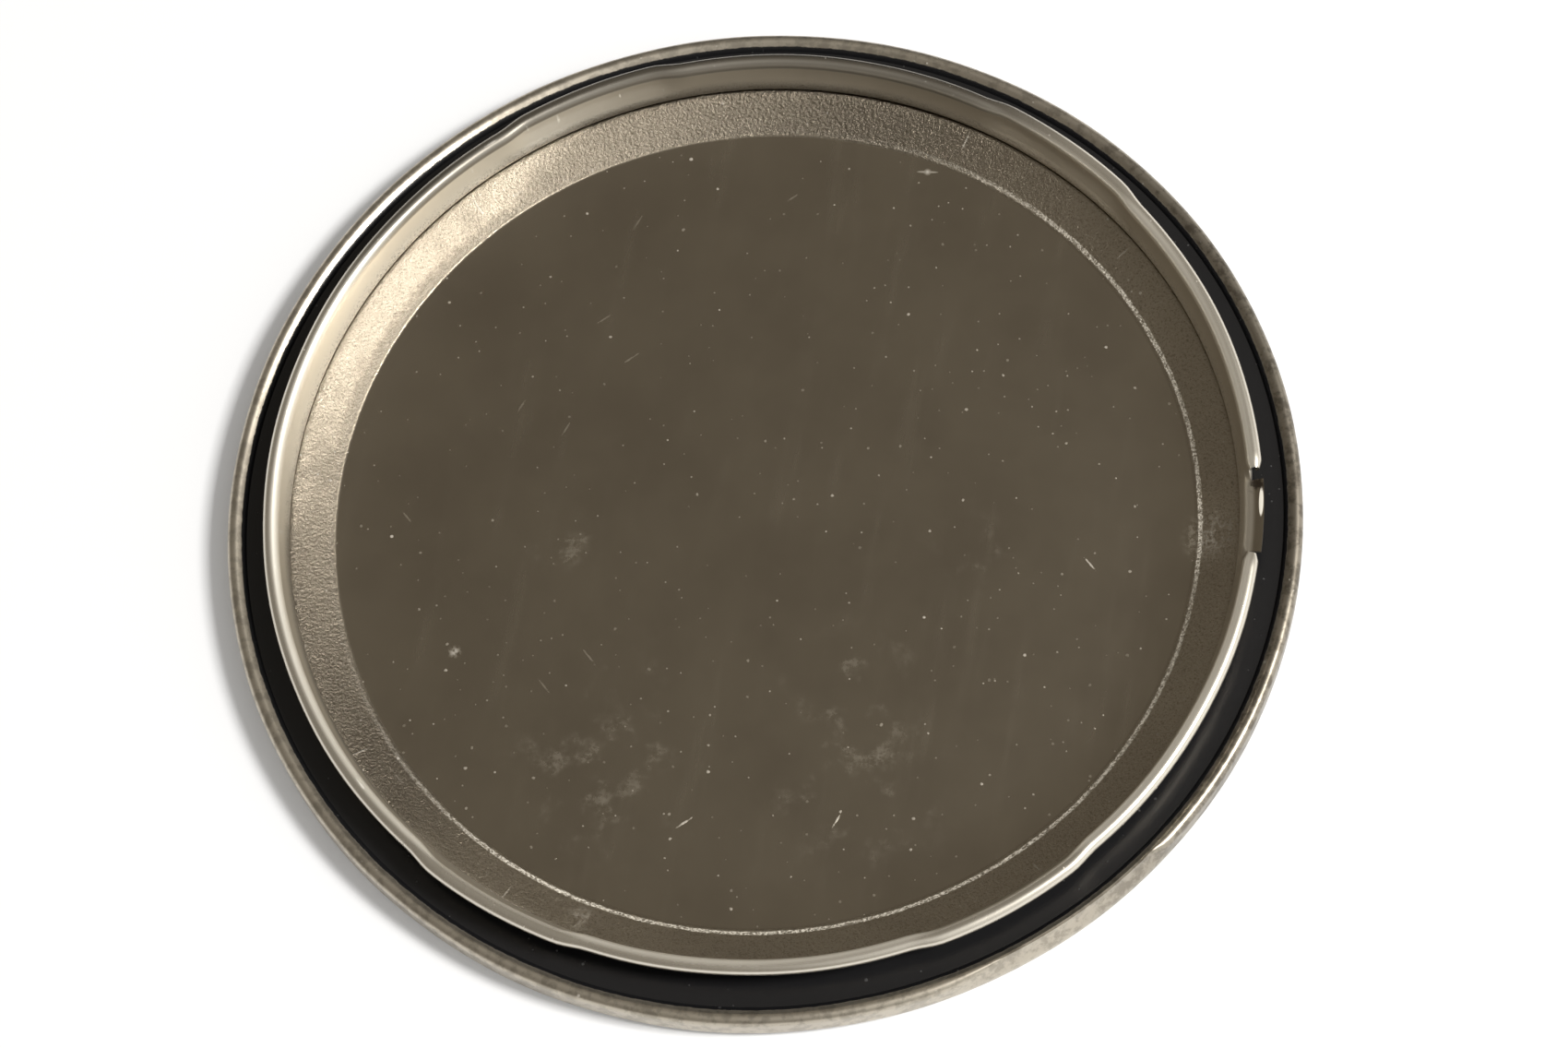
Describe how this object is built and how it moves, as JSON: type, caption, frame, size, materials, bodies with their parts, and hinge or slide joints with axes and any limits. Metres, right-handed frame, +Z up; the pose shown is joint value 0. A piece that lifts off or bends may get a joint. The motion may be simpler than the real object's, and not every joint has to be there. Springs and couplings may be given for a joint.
{
  "type": "shoe polish tin",
  "caption": "Round shallow tinplate tin of wax polish with a twist key on its side, open, its plug lid lying upside down in front of it.",
  "frame": {"origin": "middle of the ground that tin and lid cover, on the surface that they stand on", "axes": "+Z up, +Y from the lid towards the tin, +X towards the opener's side and the lid's notch"},
  "size_m": [0.0754, 0.1578, 0.017],
  "materials": {
    "lid_tinplate": "bare scratched tinplate inside, worn black lacquer outside",
    "body_lacquer": "gloss black lacquer outside, bare tinplate inside",
    "wax": "soft satin wax",
    "opener_steel": "plated steel"
  },
  "bodies": {
    "tin": {"tin_body": "body_lacquer", "polish": "wax", "opener_rivet": "opener_steel", "opener_washer": "opener_steel"},
    "key": {"opener_key": "opener_steel"},
    "lid": {"tin_lid": "lid_tinplate"}
  },
  "joints": [
    {"name": "key_turn", "type": "hinge", "parent": "tin", "child": "key", "pos_m": [0.03195, 0.045, 0.0129], "axis": [1, 0, 0], "range_deg": [-90, 90]},
    {"name": "lid_lift", "type": "slide", "parent": "tin", "child": "lid", "axis": [0, 0, 1], "range_m": [0, 0.03]}
  ]
}
